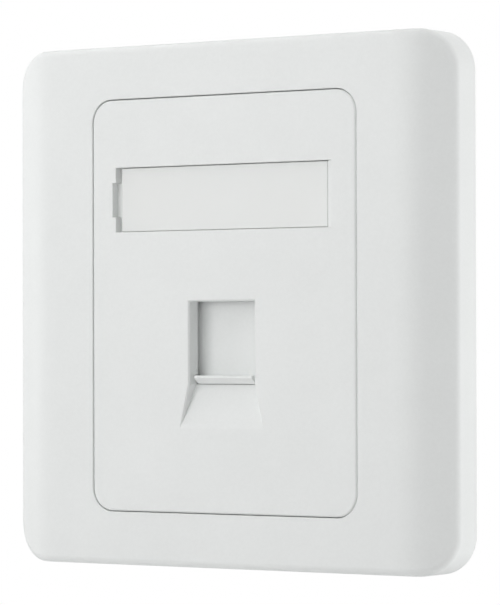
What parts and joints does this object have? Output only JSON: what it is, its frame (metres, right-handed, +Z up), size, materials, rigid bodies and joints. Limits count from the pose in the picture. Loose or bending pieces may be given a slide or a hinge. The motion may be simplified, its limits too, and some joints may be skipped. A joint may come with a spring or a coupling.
{
  "type": "data wall plate",
  "caption": "Square wall plate with a clip-on bezel, a sunk label window and a modular jack port behind a sprung shutter that slides up to let a network plug in.",
  "frame": {"origin": "middle of the plate on the wall's surface, level with the back of the flange", "axes": "+X to the right and +Z up as seen from the room, +Y into the wall"},
  "size_m": [0.086, 0.0312, 0.086],
  "materials": {
    "white_plastic": "satin moulded",
    "window_plastic": "milky, translucent",
    "card": "plain white card",
    "spring_steel": "drawn wire",
    "plated_screw": "zinc plated",
    "jack_plastic": "matt moulded",
    "gold_plate": "gold plated",
    "tin_plate": "tin plated",
    "board": "solder mask"
  },
  "bodies": {
    "base": {"panel_frame": "white_plastic", "shutter_spring": "spring_steel", "label_card": "card", "jack_holder": "white_plastic", "holder_screws": "plated_screw", "jack_housing": "jack_plastic", "contact_carrier": "jack_plastic", "jack_board": "board", "idc_block": "jack_plastic", "contact_1": "gold_plate", "contact_2": "gold_plate", "contact_3": "gold_plate", "contact_4": "gold_plate", "contact_5": "gold_plate", "contact_6": "gold_plate", "contact_7": "gold_plate", "contact_8": "gold_plate", "idc_terminal_1": "tin_plate", "idc_terminal_2": "tin_plate", "idc_terminal_3": "tin_plate", "idc_terminal_4": "tin_plate", "idc_terminal_5": "tin_plate", "idc_terminal_6": "tin_plate", "idc_terminal_7": "tin_plate", "idc_terminal_8": "tin_plate"},
    "bezel": {"bezel": "white_plastic"},
    "shutter": {"shutter": "white_plastic"},
    "label_cover": {"label_cover": "window_plastic"}
  },
  "joints": [
    {"name": "shutter_slide", "type": "slide", "parent": "base", "child": "shutter", "axis": [0, 0, 1], "range_m": [0, 0.0118], "stiffness_N_per_m": 25, "springref_m": -0.012, "deforming": ["shutter_spring"]},
    {"name": "label_cover_tilt", "type": "hinge", "parent": "base", "child": "label_cover", "pos_m": [0.01998, -0.0073, 0.01745], "axis": [0, 0, 1], "range_deg": [0, 30]},
    {"name": "bezel_pull", "type": "slide", "parent": "base", "child": "bezel", "axis": [0, -1, 0], "range_m": [0, 0.015]}
  ]
}
